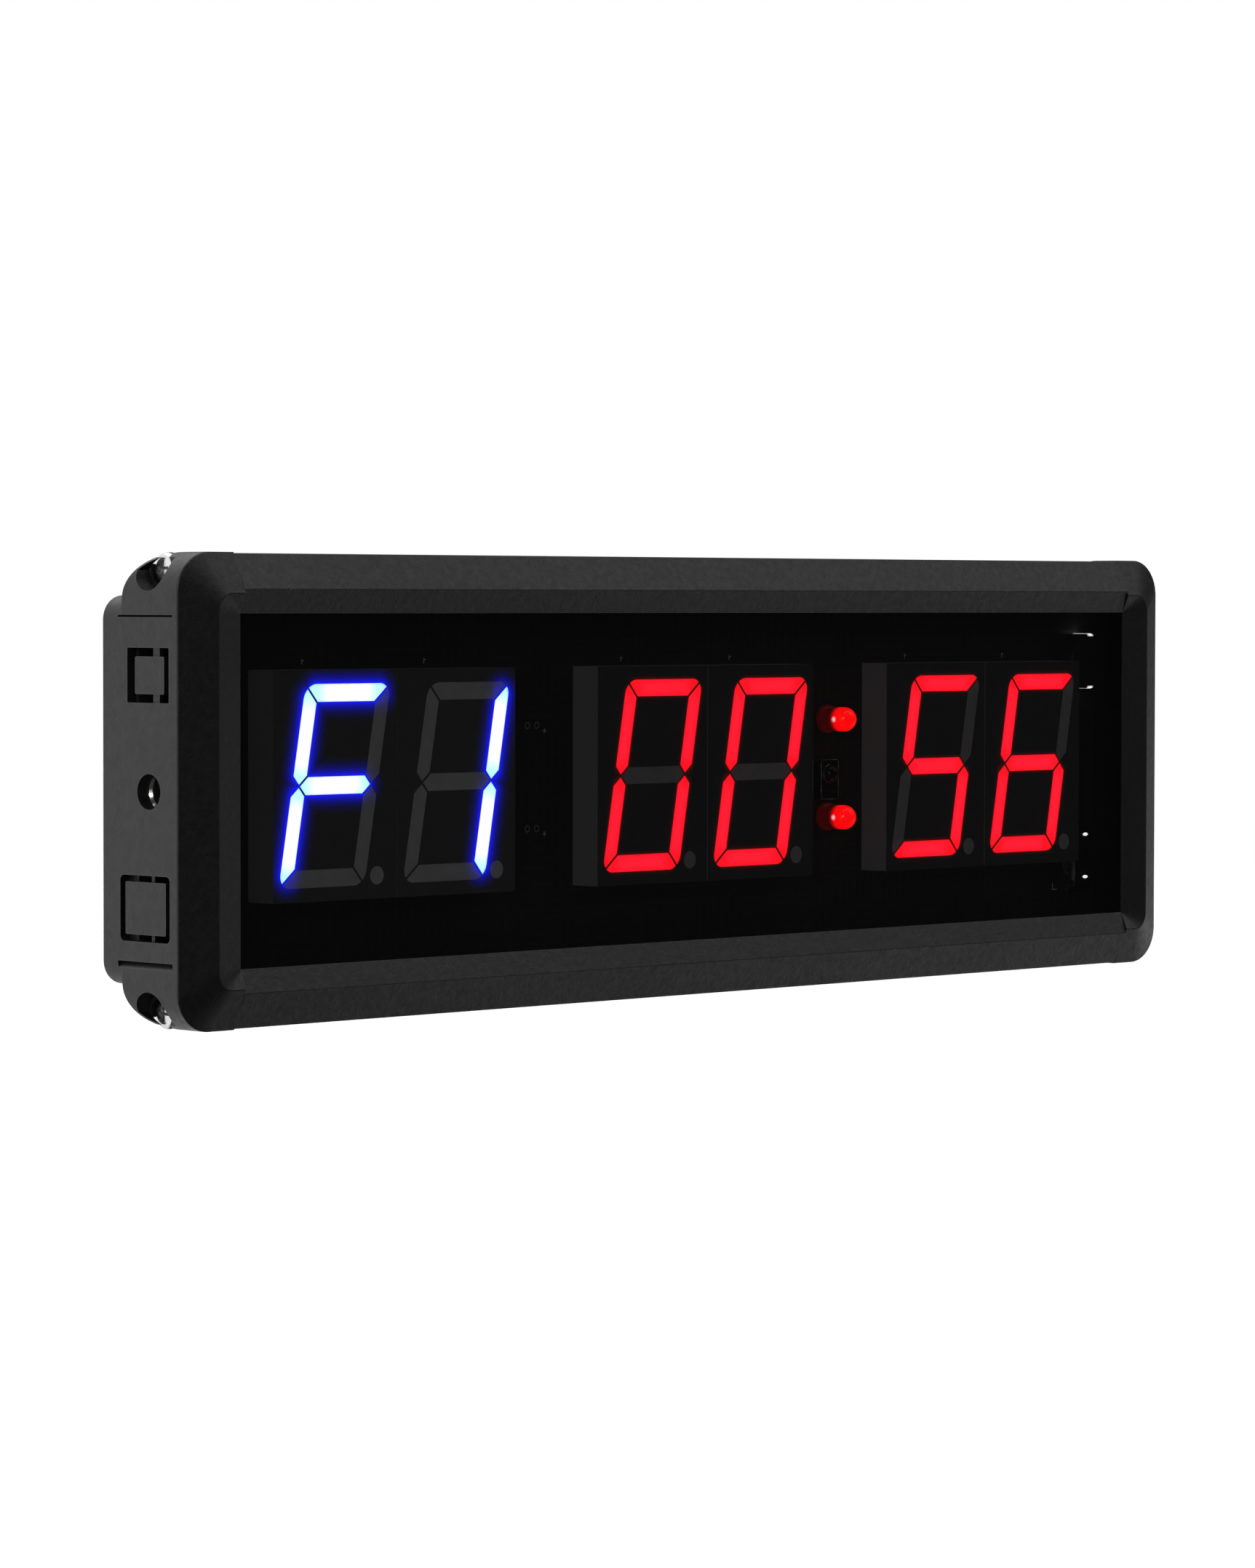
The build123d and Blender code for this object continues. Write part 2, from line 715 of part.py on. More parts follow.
def legs(name, places, part_size, leg_row):
    """Short flat legs along the two long sides of each chip."""
    count, pitch = leg_row
    across = (part_size[1] + leg_reach) / 2
    leg_places = [(x + pitch * (n - (count - 1) / 2), z + side * across)
                  for x, z in places for side in (-1, 1) for n in range(count)]
    with BuildPart() as pins:
        with BuildSketch(wall_plane(board_back - leg_thickness)):
            with Locations(leg_places):
                Rectangle(leg_width, leg_reach)
        extrude(amount=leg_thickness)
    save(pins, name)


resistor_places = [(x + column * resistor_pitch, resistor_row_z)
                   for x, _ in driver_places for column in range(-4, 4)]
back_parts("microcontroller", controller_places, controller_size, gap=part_gap)
legs("microcontroller_pins", controller_places, controller_size, controller_legs)
back_parts("display_driver_chips", driver_places, driver_size, gap=part_gap)
legs("display_driver_pins", driver_places, driver_size, driver_legs)
back_parts("quartz_crystal", crystal_places, crystal_size)
back_parts("voltage_regulator", regulator_places, regulator_size)
back_parts("power_inductor", inductor_places, inductor_size)
back_parts("chip_capacitors", capacitor_places, capacitor_size)
back_parts("chip_resistors", resistor_places, resistor_size)


# ---------------------------------------------------------------------------------------------
# Power jack, set in the left cap behind the inlet hole

def jack_axis(start):
    """Location on the jack's axis, at a distance to the left of the middle, pointing inwards."""
    return Location((-start, -inlet_distance, 0), (0, 90, 0))


with BuildPart() as dc_jack_body:
    block((-jack_front, -jack_back), jack_span, (-jack_width / 2, jack_width / 2))
    fillet(dc_jack_body.edges().filter_by(Axis.X), jack_round)
    with Locations(jack_axis(jack_front)):
        Cylinder(shell_radius + jack_fit, jack_bore_depth, align=from_start, mode=Mode.SUBTRACT)
        Cylinder(jack_stub_radius + jack_fit, jack_stub_hole_depth, align=from_start, mode=Mode.SUBTRACT)
save(dc_jack_body, "dc_jack_body")

with BuildPart() as dc_jack_shell:
    with Locations(jack_axis(shell_front)):
        Cylinder(shell_radius, shell_length, align=from_start)
        Cylinder(shell_bore_radius, shell_length, align=from_start, mode=Mode.SUBTRACT)
    chamfer(dc_jack_shell.edges().group_by(Axis.X)[0].sort_by(SortBy.RADIUS)[0], shell_mouth)
save(dc_jack_shell, "dc_jack_shell")

# the pin stands on the floor of the bore, with a thinner stub in the body
pin_foot = jack_front - jack_bore_depth
with BuildPart() as dc_jack_pin:
    with Locations(jack_axis(jack_pin_tip)):
        Cylinder(jack_pin_radius, jack_pin_tip - pin_foot, align=from_start)
    fillet(dc_jack_pin.edges().sort_by(Axis.X)[0], jack_pin_round)
    with Locations(jack_axis(pin_foot)):
        Cylinder(jack_stub_radius, jack_stub_length, align=from_start)
save(dc_jack_pin, "dc_jack_pin")

with BuildPart() as dc_jack_lugs:
    lug_length, lug_width, lug_metal = lug_size
    for level in (-1, 1):
        lug_middle = level * lug_offset
        block((-jack_back, -jack_back + lug_length),
              (board_front + jack_fit, board_front + jack_fit + lug_metal),
              (lug_middle - lug_width / 2, lug_middle + lug_width / 2))
save(dc_jack_lugs, "dc_jack_lugs")


# ---------------------------------------------------------------------------------------------
# Wall hangers: keyhole plates that slide in the rear slot, each with two clamp screws

def hanger(side):
    """Keyhole plate of the left (-1) or right (+1) hanger."""
    x = side * hanger_rest_x
    with BuildPart() as plate:
        with BuildSketch(wall_plane(hanger_distance)):
            with Locations((x, slot_centre)):
                RectangleRounded(hanger_length, hanger_height, hanger_corner)
            with Locations((x, keyhole_z)):
                Circle(keyhole_radius, mode=Mode.SUBTRACT)
            with Locations((x, keyhole_slot_z)):
                Circle(keyhole_slot_radius, mode=Mode.SUBTRACT)
            with Locations((x, middle((keyhole_z, keyhole_slot_z)))):
                Rectangle(2 * keyhole_slot_radius, keyhole_slot_z - keyhole_z, mode=Mode.SUBTRACT)
            with Locations([(x + clamp_screw_offset * end, slot_centre) for end in (-1, 1)]):
                Circle(clamp_screw_radius + thread_gap, mode=Mode.SUBTRACT)
        extrude(amount=hanger_thickness)
    return plate


def hanger_screws(side):
    """Two headless screws with a hexagon socket, threaded through a hanger plate."""
    places = [(side * hanger_rest_x + clamp_screw_offset * end, slot_centre) for end in (-1, 1)]
    with BuildPart() as screws:
        with BuildSketch(wall_plane(clamp_screw_ends[0])):
            with Locations(places):
                Circle(clamp_screw_radius)
        extrude(amount=clamp_screw_ends[1] - clamp_screw_ends[0])
        with BuildSketch(wall_plane(clamp_screw_ends[0])):
            with Locations(places):
                RegularPolygon(hex_socket_radius, 6)
        extrude(amount=hex_socket_depth, mode=Mode.SUBTRACT)
    return screws


for side_name, side in (("left", left), ("right", right)):
    save(hanger(side), f"{side_name}_hanger_plate")
    save(hanger_screws(side), f"{side_name}_hanger_screws")
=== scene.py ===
import math

import bmesh
import bpy
from mathutils import Matrix, Vector


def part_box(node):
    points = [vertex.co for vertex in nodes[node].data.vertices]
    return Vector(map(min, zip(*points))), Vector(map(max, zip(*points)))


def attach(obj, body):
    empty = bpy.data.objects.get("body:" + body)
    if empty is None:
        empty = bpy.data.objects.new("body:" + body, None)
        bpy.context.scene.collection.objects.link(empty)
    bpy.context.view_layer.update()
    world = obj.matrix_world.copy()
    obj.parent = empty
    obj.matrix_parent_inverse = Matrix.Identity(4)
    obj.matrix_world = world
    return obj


# Wall-hung gym interval timer: materials for the CAD nodes, and the small printed, soldered and pressed
# details on the front of the circuit board. Everything is in metres, in the frame of the CAD model: +X to
# the viewer's right, +Y into the wall, +Z up.

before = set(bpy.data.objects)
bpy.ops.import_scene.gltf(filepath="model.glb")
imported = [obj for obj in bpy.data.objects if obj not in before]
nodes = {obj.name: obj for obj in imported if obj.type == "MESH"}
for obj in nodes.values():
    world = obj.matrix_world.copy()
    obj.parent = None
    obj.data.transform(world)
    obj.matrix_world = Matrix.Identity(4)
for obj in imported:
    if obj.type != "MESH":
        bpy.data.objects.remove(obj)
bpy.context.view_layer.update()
MM = 0.001
WHITE = (1.0, 1.0, 1.0)

# Display: digits, the bars' stroke and slant, and how much the tinted sheet covers
DIGITS = range(1, 7)
BLUE_DIGITS = (1, 2)
BAR_STROKE = 3.75 * MM
SLANT = math.tan(math.radians(10))
LENS_TINT = 0.45

# Light of the display painted as emission onto the housings and unlit bars, which are no lamps, for a blue
# digit (True)
# or a red one (False): colour, strength and e-fold of the painted glow round a lit bar, then the painted
# stray light of the front face, of the sides and of the unlit bars, and its colour; last, the share of the
# painted glow that an unlit bar takes, and the share left in the gap between two lit ones
BLUE_PAINTED_GLOW, RED_PAINTED_GLOW = (0.004, 0.006, 1.0), (1.0, 0.004, 0.010)
PAINTED_GLOW_LEVELS = {True: (2.7, 0.95 * MM), False: (0.10, 0.25 * MM)}
FACE_PAINTED_STRAY = {True: 0.009, False: 0.004}
SIDE_PAINTED_STRAY = {True: 0.016, False: 0.029}
BAR_PAINTED_STRAY = {True: 0.038, False: 0.020}
PAINTED_STRAY_COLOUR = (0.97, 0.97, 1.0)
UNLIT_BAR_SHARE = 0.3
PAINTED_GLOW_IN_GAPS = 0.25

# Colon lamps: radius, then how far in front of its back the light starts, is full and has its painted
# highlight
LAMP_RADIUS = 2.5 * MM
LAMP_LIT_FROM, LAMP_LIT_FULL, LAMP_PAINTED_HIGHLIGHT = 3.2 * MM, 4.6 * MM, 4.5 * MM

# Painted highlights on the rim of the buzzer, as glints of emission: strength, how far inside the rim they
# start and are full, and the half widths at which they begin to fade and are gone
PAINTED_GLINT_STRENGTH = 3.2
PAINTED_GLINT_DEPTHS = (0.65 * MM, 0.40 * MM)
PAINTED_GLINT_WIDTHS = (0.4 * MM, 1.1 * MM)

# Printed marks: thickness and stroke of the ink; places of the two strokes of a tick from the middle of
# the top of a digit; place of a plus sign from a spare lamp; inset of a corner from a part's box
INK_RISE, INK_STROKE = 0.03 * MM, 0.16 * MM
TICK_UPRIGHT, TICK_LEVEL = (-2.2 * MM, 1.4 * MM), (-1.9 * MM, 1.6 * MM)
TICK_HEIGHT, TICK_WIDTH = 1.0 * MM, 0.5 * MM
PLUS_PLACE, PLUS_SIZE = (3.4 * MM, -1.1 * MM), 1.0 * MM
CORNER_INSET, CORNER_SIZE = 1.0 * MM, 1.4 * MM

# Bare pads of the spare colon: half the spacing of a lamp's two pads, outer and inner radius
PAD_HALF_SPACING, PAD_OUTER, PAD_INNER, PAD_SIDES = 1.27 * MM, 0.75 * MM, 0.42 * MM, 24

# Pips of the cell clip: place, size, and their section as (share of the radius, share of the rise)
PIP_INSET, PIP_HEIGHT, PIP_SUNK = 1.5 * MM, 4.65 * MM, 0.05 * MM
PIP_WIDE, PIP_TALL, PIP_RISE = 0.8 * MM, 0.36 * MM, 0.30 * MM
PIP_SHAPE, PIP_SIDES = ((1.0, 0.0), (0.95, 0.45), (0.75, 0.80), (0.40, 1.0)), 20

# Stage: a round floor; light as (direction, cosine where it starts, cosine where it is full, strength)
FLOOR_Z, FLOOR_CENTRE, FLOOR_RADIUS = -0.45, 3.2, 4.0
FLOOR_RINGS, FLOOR_SIDES = 8, 96
ROOM_LEVEL = 0.034
STUDIO_LOBES = [
    ((-0.4, 1.0, 0.0), 0.27, 0.60, 1.15),
    ((0.0, 0.2, 1.0), 0.75, 0.92, 2.3),
    ((-0.93, -0.35, 0.10), 0.94, 0.985, 1.2),
    ((-0.80, -0.55, 0.25), 0.996, 0.999, 30.0),
    ((0.58, -0.52, 0.62), 0.87, 0.985, 1.15),
    ((0.80, -0.36, -0.48), 0.87, 0.98, 0.58),
]

# Camera: place, then heading from +Y towards +X, dip and roll in degrees
CAMERA_PLACE = Vector((-0.7465, -0.7439, 0.0356))
CAMERA_ANGLES = (45.0, 2.058, -0.1)
CAMERA_LENS, CAMERA_SENSOR = 118.64, 36.0
CAMERA_CLIP = (0.05, 50.0)


def middle(node):
    """Centre of a node's box."""
    low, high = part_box(node)
    return (low + high) / 2


# ---------------------------------------------------------------------------------------------
# Shader graphs

def add_node(tree, kind, inputs=None, **settings):
    """New shader node; inputs are constants or the outputs of other nodes."""
    made = tree.nodes.new("ShaderNode" + kind)
    for name, value in settings.items():
        setattr(made, name, value)
    for place, value in (inputs or {}).items():
        if isinstance(value, bpy.types.NodeSocket):
            tree.links.new(value, made.inputs[place])
        else:
            made.inputs[place].default_value = value
    return made


class Graph:
    """Node tree of one material, ending in its Principled shader."""

    def __init__(self, name, **constants):
        self.material = bpy.data.materials.new(name)
        self.material.use_nodes = True
        self.tree = self.material.node_tree
        self.shader = next(n for n in self.tree.nodes if n.type == "BSDF_PRINCIPLED")
        self.position = self.add("TexCoord").outputs["Object"]
        for label, value in constants.items():
            self.shader.inputs[label.replace("_", " ")].default_value = value

    def add(self, kind, inputs=None, **settings):
        return add_node(self.tree, kind, inputs, **settings)

    def feed(self, **sockets):
        """Links values into the shader; underscores in the names stand for spaces."""
        for label, value in sockets.items():
            self.tree.links.new(value, self.shader.inputs[label.replace("_", " ")])

    def calc(self, operation, a, b=0.0, clamp=False):
        return self.add("Math", {0: a, 1: b}, operation=operation, use_clamp=clamp).outputs[0]

    def vector(self, operation, a, b=(0.0, 0.0, 0.0), output=0):
        return self.add("VectorMath", {0: a, 1: b}, operation=operation).outputs[output]

    def noise(self, grain, detail=2.0, stretch=None):
        """Noise from 0 to 1 whose grain is about that many metres."""
        place = self.vector("MULTIPLY", self.position, stretch) if stretch else self.position
        return self.add("TexNoise", {"Vector": place, "Scale": 1 / grain, "Detail": detail}).outputs["Fac"]

    def cells(self, grain):
        """Distance to the nearest of scattered points that are about that many metres apart."""
        return self.add("TexVoronoi", {"Vector": self.position, "Scale": 1 / grain}).outputs["Distance"]

    def axis(self, name):
        """Place along X, Y or Z."""
        return self.add("SeparateXYZ", {0: self.position}).outputs[name]

    def spread(self, value, low, high, from_low=0.0, from_high=1.0):
        """Maps a range of values onto low to high, clamped."""
        inputs = {"Value": value, "From Min": from_low, "From Max": from_high,
                  "To Min": low, "To Max": high}
        return self.add("MapRange", inputs).outputs["Result"]

    def mix(self, share, a, b):
        """Colour a to colour b."""
        a, b = ((*value, 1.0) if isinstance(value, tuple) else value for value in (a, b))
        return self.add("Mix", {0: share, 6: a, 7: b}, data_type="RGBA").outputs[2]

    def edges(self, radius, gain=3.0):
        """0 on flat surfaces, up to 1 on convex and concave edges within that radius."""
        rounded = self.add("Bevel", {"Radius": radius}, samples=4).outputs["Normal"]
        flat = self.add("NewGeometry").outputs["Normal"]
        bend = self.calc("SUBTRACT", 1.0, self.vector("DOT_PRODUCT", rounded, flat, output="Value"))
        return self.calc("MULTIPLY", bend, gain, clamp=True)

    def bump(self, *layers):
        """Stacks (height, depth in metres) layers into the shader's normal."""
        normal = None
        for height, depth in layers:
            inputs = {"Height": height, "Distance": depth, "Strength": 1.0}
            if normal:
                inputs["Normal"] = normal
            normal = self.add("Bump", inputs).outputs["Normal"]
        self.feed(Normal=normal)

    def emits(self, colour):
        """One colour for all the light the material gives."""
        self.shader.inputs["Emission Color"].default_value = (*colour, 1.0)


def add_painted_glints(g, node):
    """Painted highlights: glints of emission on the rim of a round node, at its top and bottom."""
    centre, top = middle(node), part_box(node)[1].z
    height = g.calc("ABSOLUTE", g.calc("SUBTRACT", g.axis("Z"), centre.z))
    aside = g.calc("ABSOLUTE", g.calc("SUBTRACT", g.axis("X"), centre.x))
    starts, is_full = (top - centre.z - depth for depth in PAINTED_GLINT_DEPTHS)
    on_rim = g.spread(height, 0.0, 1.0, starts, is_full)
    narrow = g.spread(aside, 1.0, 0.0, *PAINTED_GLINT_WIDTHS)
    g.feed(Emission_Strength=g.calc("MULTIPLY", g.calc("MULTIPLY", on_rim, narrow), PAINTED_GLINT_STRENGTH))
    g.emits(WHITE)


def coated_metal(name):
    """Black powder coat: fine orange peel, rare pale specks and slightly rubbed edges."""
    g = Graph(name, Metallic=0.0, Specular_IOR_Level=0.5)
    peel = g.noise(0.45 * MM, detail=3.0)
    patches = g.noise(30 * MM)
    mottle = g.spread(g.noise(1.4 * MM, detail=3.0), -0.05, 0.05, 0.3, 0.7)
    specks = g.spread(g.cells(1.3 * MM), 1.0, 0.0, 0.03, 0.09)
    chosen = g.spread(g.noise(2.2 * MM), 0.0, 1.0, 0.60, 0.64)
    dust = g.calc("MULTIPLY", specks, chosen)
    rubbed = g.calc("MULTIPLY", g.edges(0.35 * MM), g.spread(g.noise(3 * MM), 0.25, 1.0, 0.4, 0.6))
    peaks = g.spread(peel, 0.0, 1.0, 0.3, 0.7)
    black = g.mix(peaks, (0.003, 0.003, 0.0032), (0.019, 0.019, 0.0195))
    worn = g.mix(rubbed, black, (0.045, 0.045, 0.047))
    rough = g.calc("ADD", g.spread(peel, 0.40, 0.54, 0.3, 0.7), g.spread(patches, 0.0, 0.06))
    g.feed(Base_Color=g.mix(dust, worn, (0.20, 0.20, 0.19)), Roughness=g.calc("ADD", rough, mottle))
    g.bump((g.noise(4 * MM), 0.010 * MM), (mottle, 0.30 * MM), (peel, 0.045 * MM))
    return g.material


def moulded_plastic(name, low, high, roughness, grain, depth, wear=0.03, painted_glints_on=None):
    """Moulded plastic with a spark-eroded grain and slightly polished edges."""
    g = Graph(name, Specular_IOR_Level=0.45)
    pits = g.noise(grain, detail=3.0)
    flow = g.noise(25 * MM, stretch=(0.4, 1.0, 1.0))
    mottle = g.spread(g.noise(1.6 * MM, detail=3.0), -0.05, 0.05, 0.3, 0.7)
    polished = g.edges(0.4 * MM)
    rough = g.calc("ADD", g.spread(pits, roughness - 0.06, roughness + 0.06), g.spread(flow, 0.0, 0.06))
    rough = g.calc("SUBTRACT", g.calc("ADD", rough, mottle), g.calc("MULTIPLY", polished, 0.12))
    g.feed(Base_Color=g.mix(polished, g.mix(pits, low, high), (wear, wear, wear)), Roughness=rough)
    g.bump((g.noise(9 * MM), 0.012 * MM), (mottle, 0.25 * MM), (pits, depth))
    # Painted highlights on the rim of the named node, if one is given
    if painted_glints_on:
        add_painted_glints(g, painted_glints_on)
    return g.material


def tinted_acrylic(name):
    """Polished smoked sheet: mostly clear to what glows behind it, with faint haze and dust."""
    g = Graph(name, Alpha=LENS_TINT, IOR=1.49, Specular_IOR_Level=0.35)
    haze = g.noise(18 * MM, detail=4.0)
    dust = g.spread(g.cells(2.6 * MM), 1.0, 0.0, 0.02, 0.05)
    chosen = g.calc("MULTIPLY", dust, g.spread(g.noise(7 * MM), 0.0, 1.0, 0.62, 0.66))
    smoke = g.mix(haze, (0.0040, 0.0040, 0.0042), (0.0060, 0.0060, 0.0063))
    g.feed(Base_Color=g.mix(chosen, smoke, (0.05, 0.05, 0.05)),
           Roughness=g.calc("ADD", g.spread(haze, 0.02, 0.06, 0.35, 0.65),
                            g.calc("MULTIPLY", chosen, 0.4)))
    g.bump((g.noise(60 * MM), 0.02 * MM), (chosen, 0.004 * MM))
    return g.material


# ---------------------------------------------------------------------------------------------
# Display: the lit bars are found from the frame, so that their glow can be painted round them

def solids_of(node):
    """Points of each separate solid in a node's mesh."""
    mesh = nodes[node].data
    step = 0.001 * MM
    keys = [tuple(round(c / step) for c in v.co) for v in mesh.vertices]
    parent = {key: key for key in keys}

    def root(key):
        while parent[key] != key:
            parent[key] = parent[parent[key]]
            key = parent[key]
        return key

    for edge in mesh.edges:
        a, b = (root(keys[v]) for v in edge.vertices)
        parent[a] = b
    groups = {}
    for key in sorted(parent):
        groups.setdefault(root(key), []).append(Vector(key) * step)
    return [groups[key] for key in sorted(groups)]


def middle_line(points):
    """Ends of the middle line of a bar, pulled in by half a stroke, on its front face."""
    front = min(p.y for p in points)
    face = [p for p in points if p.y < front + 0.1 * MM]
    tall = max(p.z for p in face) - min(p.z for p in face)
    wide = max(p.x for p in face) - min(p.x for p in face)
    along = Vector((SLANT, 0, 1)).normalized() if tall > wide else Vector((1, 0, 0))
    across = Vector((-along.z, 0, along.x))
    low, high = (Vector((pick(p.dot(along) for p in face), pick(p.dot(across) for p in face)))
                 for pick in (min, max))
    centre = along * (low.x + high.x) / 2 + across * (low.y + high.y) / 2 + Vector((0, front, 0))
    reach = (high.x - low.x - BAR_STROKE) / 2
    return centre - along * reach, centre + along * reach


lit_bars = {n: [middle_line(s) for s in solids_of(f"digit_{n}_lit_segments")] for n in DIGITS}


def distances_to_bars(g, bars):
    """Distances, across the face, from a point to each of some lines (or single points)."""
    flat = g.vector("MULTIPLY", g.position, (1.0, 0.0, 1.0))
    distances = []
    for start, end in bars:
        start, end = Vector((start.x, 0, start.z)), Vector((end.x, 0, end.z))
        run = end - start
        gap = g.vector("SUBTRACT", flat, tuple(start))
        if run.length:
            along = g.vector("DOT_PRODUCT", gap, tuple(run / run.length_squared), output="Value")
            along = g.calc("MULTIPLY", along, 1.0, clamp=True)
            foot = g.add("VectorMath", {0: tuple(run), "Scale": along}, operation="SCALE").outputs[0]
            gap = g.vector("SUBTRACT", gap, foot)
        distances.append(g.vector("LENGTH", gap, output="Value"))
    return distances


def smallest(g, values):
    """The least of some values."""
    least = values[0]
    for value in values[1:]:
        least = g.calc("MINIMUM", least, value)
    return least


def paint_glow_round_bars(g, bars, strength, reach):
    """Painted glow, as emission, that falls off from the edges of the bars (reach is one e-fold) and is dim
    in the gaps between two bars, which both capsules cover."""
    distances = distances_to_bars(g, bars)
    covers = 0.0
    for distance in distances:
        inside = g.spread(distance, 1.0, 0.0, BAR_STROKE / 2 - 0.1 * MM, BAR_STROKE / 2 + 0.2 * MM)
        covers = g.calc("ADD", covers, inside)
    in_gap = g.spread(covers, 1.0, PAINTED_GLOW_IN_GAPS, 1.1, 1.7)
    beyond = g.calc("SUBTRACT", smallest(g, distances), BAR_STROKE / 2)
    decay = g.calc("POWER", math.e, g.calc("DIVIDE", g.calc("MULTIPLY", beyond, -1.0), reach))
    fading = g.spread(beyond, 1.0, 0.0, 0.0, 4 * reach)
    painted_glow = g.calc("MULTIPLY", g.calc("MULTIPLY", g.calc("MINIMUM", decay, 1.0), fading), in_gap)
    return g.calc("MULTIPLY", painted_glow, strength)


def paint_glow_and_stray(g, painted_glow, colour, painted_stray):
    """Feeds painted light into the emission: the glow of the bars, plus an even painted stray light on the
    milky plastic.
    """
    total = g.calc("ADD", painted_glow, painted_stray)
    share = g.calc("DIVIDE", painted_glow, total)
    g.feed(Emission_Color=g.mix(share, PAINTED_STRAY_COLOUR, colour), Emission_Strength=total)


def digit_housing(name, n):
    """Inked front face with the glow of its bars painted on as emission; the sides are bare dark grey
    plastic; both carry a painted stray light.
    """
    blue = n in BLUE_DIGITS
    g = Graph(name, Specular_IOR_Level=0.3)
    grain = g.noise(0.3 * MM, detail=3.0)
    facing = g.add("SeparateXYZ", {0: g.add("TexCoord").outputs["Normal"]}).outputs["Y"]
    front = g.spread(facing, 1.0, 0.0, -0.95, -0.80)
    side = g.mix(grain, (0.045, 0.055, 0.055), (0.065, 0.075, 0.075))
    ink = g.mix(grain, (0.030, 0.030, 0.030), (0.048, 0.048, 0.048))
    # Painted glow of the lit bars and painted stray light, as emission
    painted_glow = g.calc("MULTIPLY", paint_glow_round_bars(g, lit_bars[n], *PAINTED_GLOW_LEVELS[blue]), front)
    painted_stray = g.spread(front, SIDE_PAINTED_STRAY[blue], FACE_PAINTED_STRAY[blue])
    paint_glow_and_stray(g, painted_glow, BLUE_PAINTED_GLOW if blue else RED_PAINTED_GLOW,
                    g.calc("MULTIPLY", painted_stray, g.spread(grain, 0.85, 1.15)))
    g.feed(Base_Color=g.mix(front, side, ink), Roughness=g.spread(grain, 0.55, 0.75))
    g.bump((grain, 0.010 * MM))
    return g.material


def unlit_bar(name, n):
    """Milky epoxy with a little of its lit neighbours' glow and a faint stray light, both painted on as
    emission.
    """
    blue = n in BLUE_DIGITS
    g = Graph(name, Specular_IOR_Level=0.4)
    cloud = g.noise(2.5 * MM)
    if blue:
        tints = (0.38, 0.38, 0.38), (0.50, 0.50, 0.50)
    else:
        tints = (0.24, 0.22, 0.25), (0.33, 0.31, 0.34)
    # Painted glow and painted stray light, as emission
    painted_glow = g.calc("MULTIPLY", paint_glow_round_bars(g, lit_bars[n], *PAINTED_GLOW_LEVELS[blue]), UNLIT_BAR_SHARE)
    paint_glow_and_stray(g, painted_glow, BLUE_PAINTED_GLOW if blue else RED_PAINTED_GLOW,
                    g.calc("MULTIPLY", g.spread(cloud, 0.85, 1.15), BAR_PAINTED_STRAY[blue]))
    g.feed(Base_Color=g.mix(cloud, *tints), Roughness=g.spread(cloud, 0.30, 0.45))
    g.bump((g.noise(0.8 * MM), 0.008 * MM))
    return g.material


def lit_bar(name, n):
    """Epoxy lit from behind: brightest in the middle, more saturated at its rim and ends."""
    blue = n in BLUE_DIGITS
    g = Graph(name, Specular_IOR_Level=0.4)
    away = g.calc("DIVIDE", smallest(g, distances_to_bars(g, lit_bars[n])), BAR_STROKE / 2)
    uneven = g.spread(g.noise(1.6 * MM), -0.10, 0.10)
    rim = g.calc("ADD", away, uneven)
    middles = [((start + end) / 2,) * 2 for start, end in lit_bars[n]]
    ends = g.spread(smallest(g, distances_to_bars(g, middles)), 0.0, 1.0, 4.9 * MM, 7.6 * MM)
    if blue:
        tone = g.mix(g.spread(rim, 0.0, 1.0, 0.75, 1.15), (0.98, 1.0, 1.0), (0.12, 0.45, 1.0))
        hot = g.mix(g.calc("MULTIPLY", ends, 0.80), tone, (0.38, 0.90, 0.86))
        strength = g.spread(rim, 3.6, 3.0, 0.5, 1.2)
    else:
        faint = g.calc("MAXIMUM", ends, g.spread(rim, 0.0, 1.0, 0.2, 1.0))
        hot = g.mix(faint, (1.0, 0.009, 0.031), (1.0, 0.002, 0.012))
        strength = g.spread(rim, 3.4, 2.4, 0.7, 1.2)
    g.feed(Base_Color=g.mix(uneven, (0.12, 0.12, 0.12), (0.08, 0.08, 0.08)), Emission_Color=hot,
           Emission_Strength=strength, Roughness=g.spread(g.noise(0.8 * MM), 0.3, 0.45))
    g.bump((g.noise(0.8 * MM), 0.006 * MM))
    return g.material


def red_lamp(name):
    """Clear red epoxy lamp: the dome glows, the foot is dim, and a highlight is painted between them as
    emission.
    """
    g = Graph(name, Specular_IOR_Level=0.9, Coat_Weight=1.0, Coat_Roughness=0.04)
    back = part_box("upper_colon_lamp")[1].y
    towards_tip = g.spread(g.axis("Y"), 0.0, 1.0, back - LAMP_LIT_FROM, back - LAMP_LIT_FULL)
    ripple = g.noise(1.2 * MM)
    lit = g.mix(towards_tip, (0.22, 0.001, 0.003), (1.0, 0.001, 0.002))
    # Painted highlight: a pale spot of emission on the left of each lamp
    painted_glint = 0.0
    for lamp in ("upper_colon_lamp", "lower_colon_lamp"):
        centre = middle(lamp)
        spot = (centre.x - LAMP_RADIUS, back - LAMP_PAINTED_HIGHLIGHT, centre.z)
        away = g.vector("DISTANCE", g.position, spot, output="Value")
        painted_glint = g.calc("MAXIMUM", painted_glint, g.spread(away, 1.0, 0.0, 0.15 * MM, 0.70 * MM))
    g.feed(Base_Color=g.mix(ripple, (0.35, 0.004, 0.006), (0.50, 0.008, 0.010)),
           Emission_Color=g.mix(painted_glint, lit, (1.0, 0.55, 0.55)),
           Emission_Strength=g.calc("MULTIPLY", g.spread(towards_tip, 0.30, 3.2),
                                    g.spread(ripple, 0.85, 1.15)),
           Roughness=g.spread(ripple, 0.08, 0.2))
    g.bump((ripple, 0.010 * MM))
    return g.material


# ---------------------------------------------------------------------------------------------
# Electronics

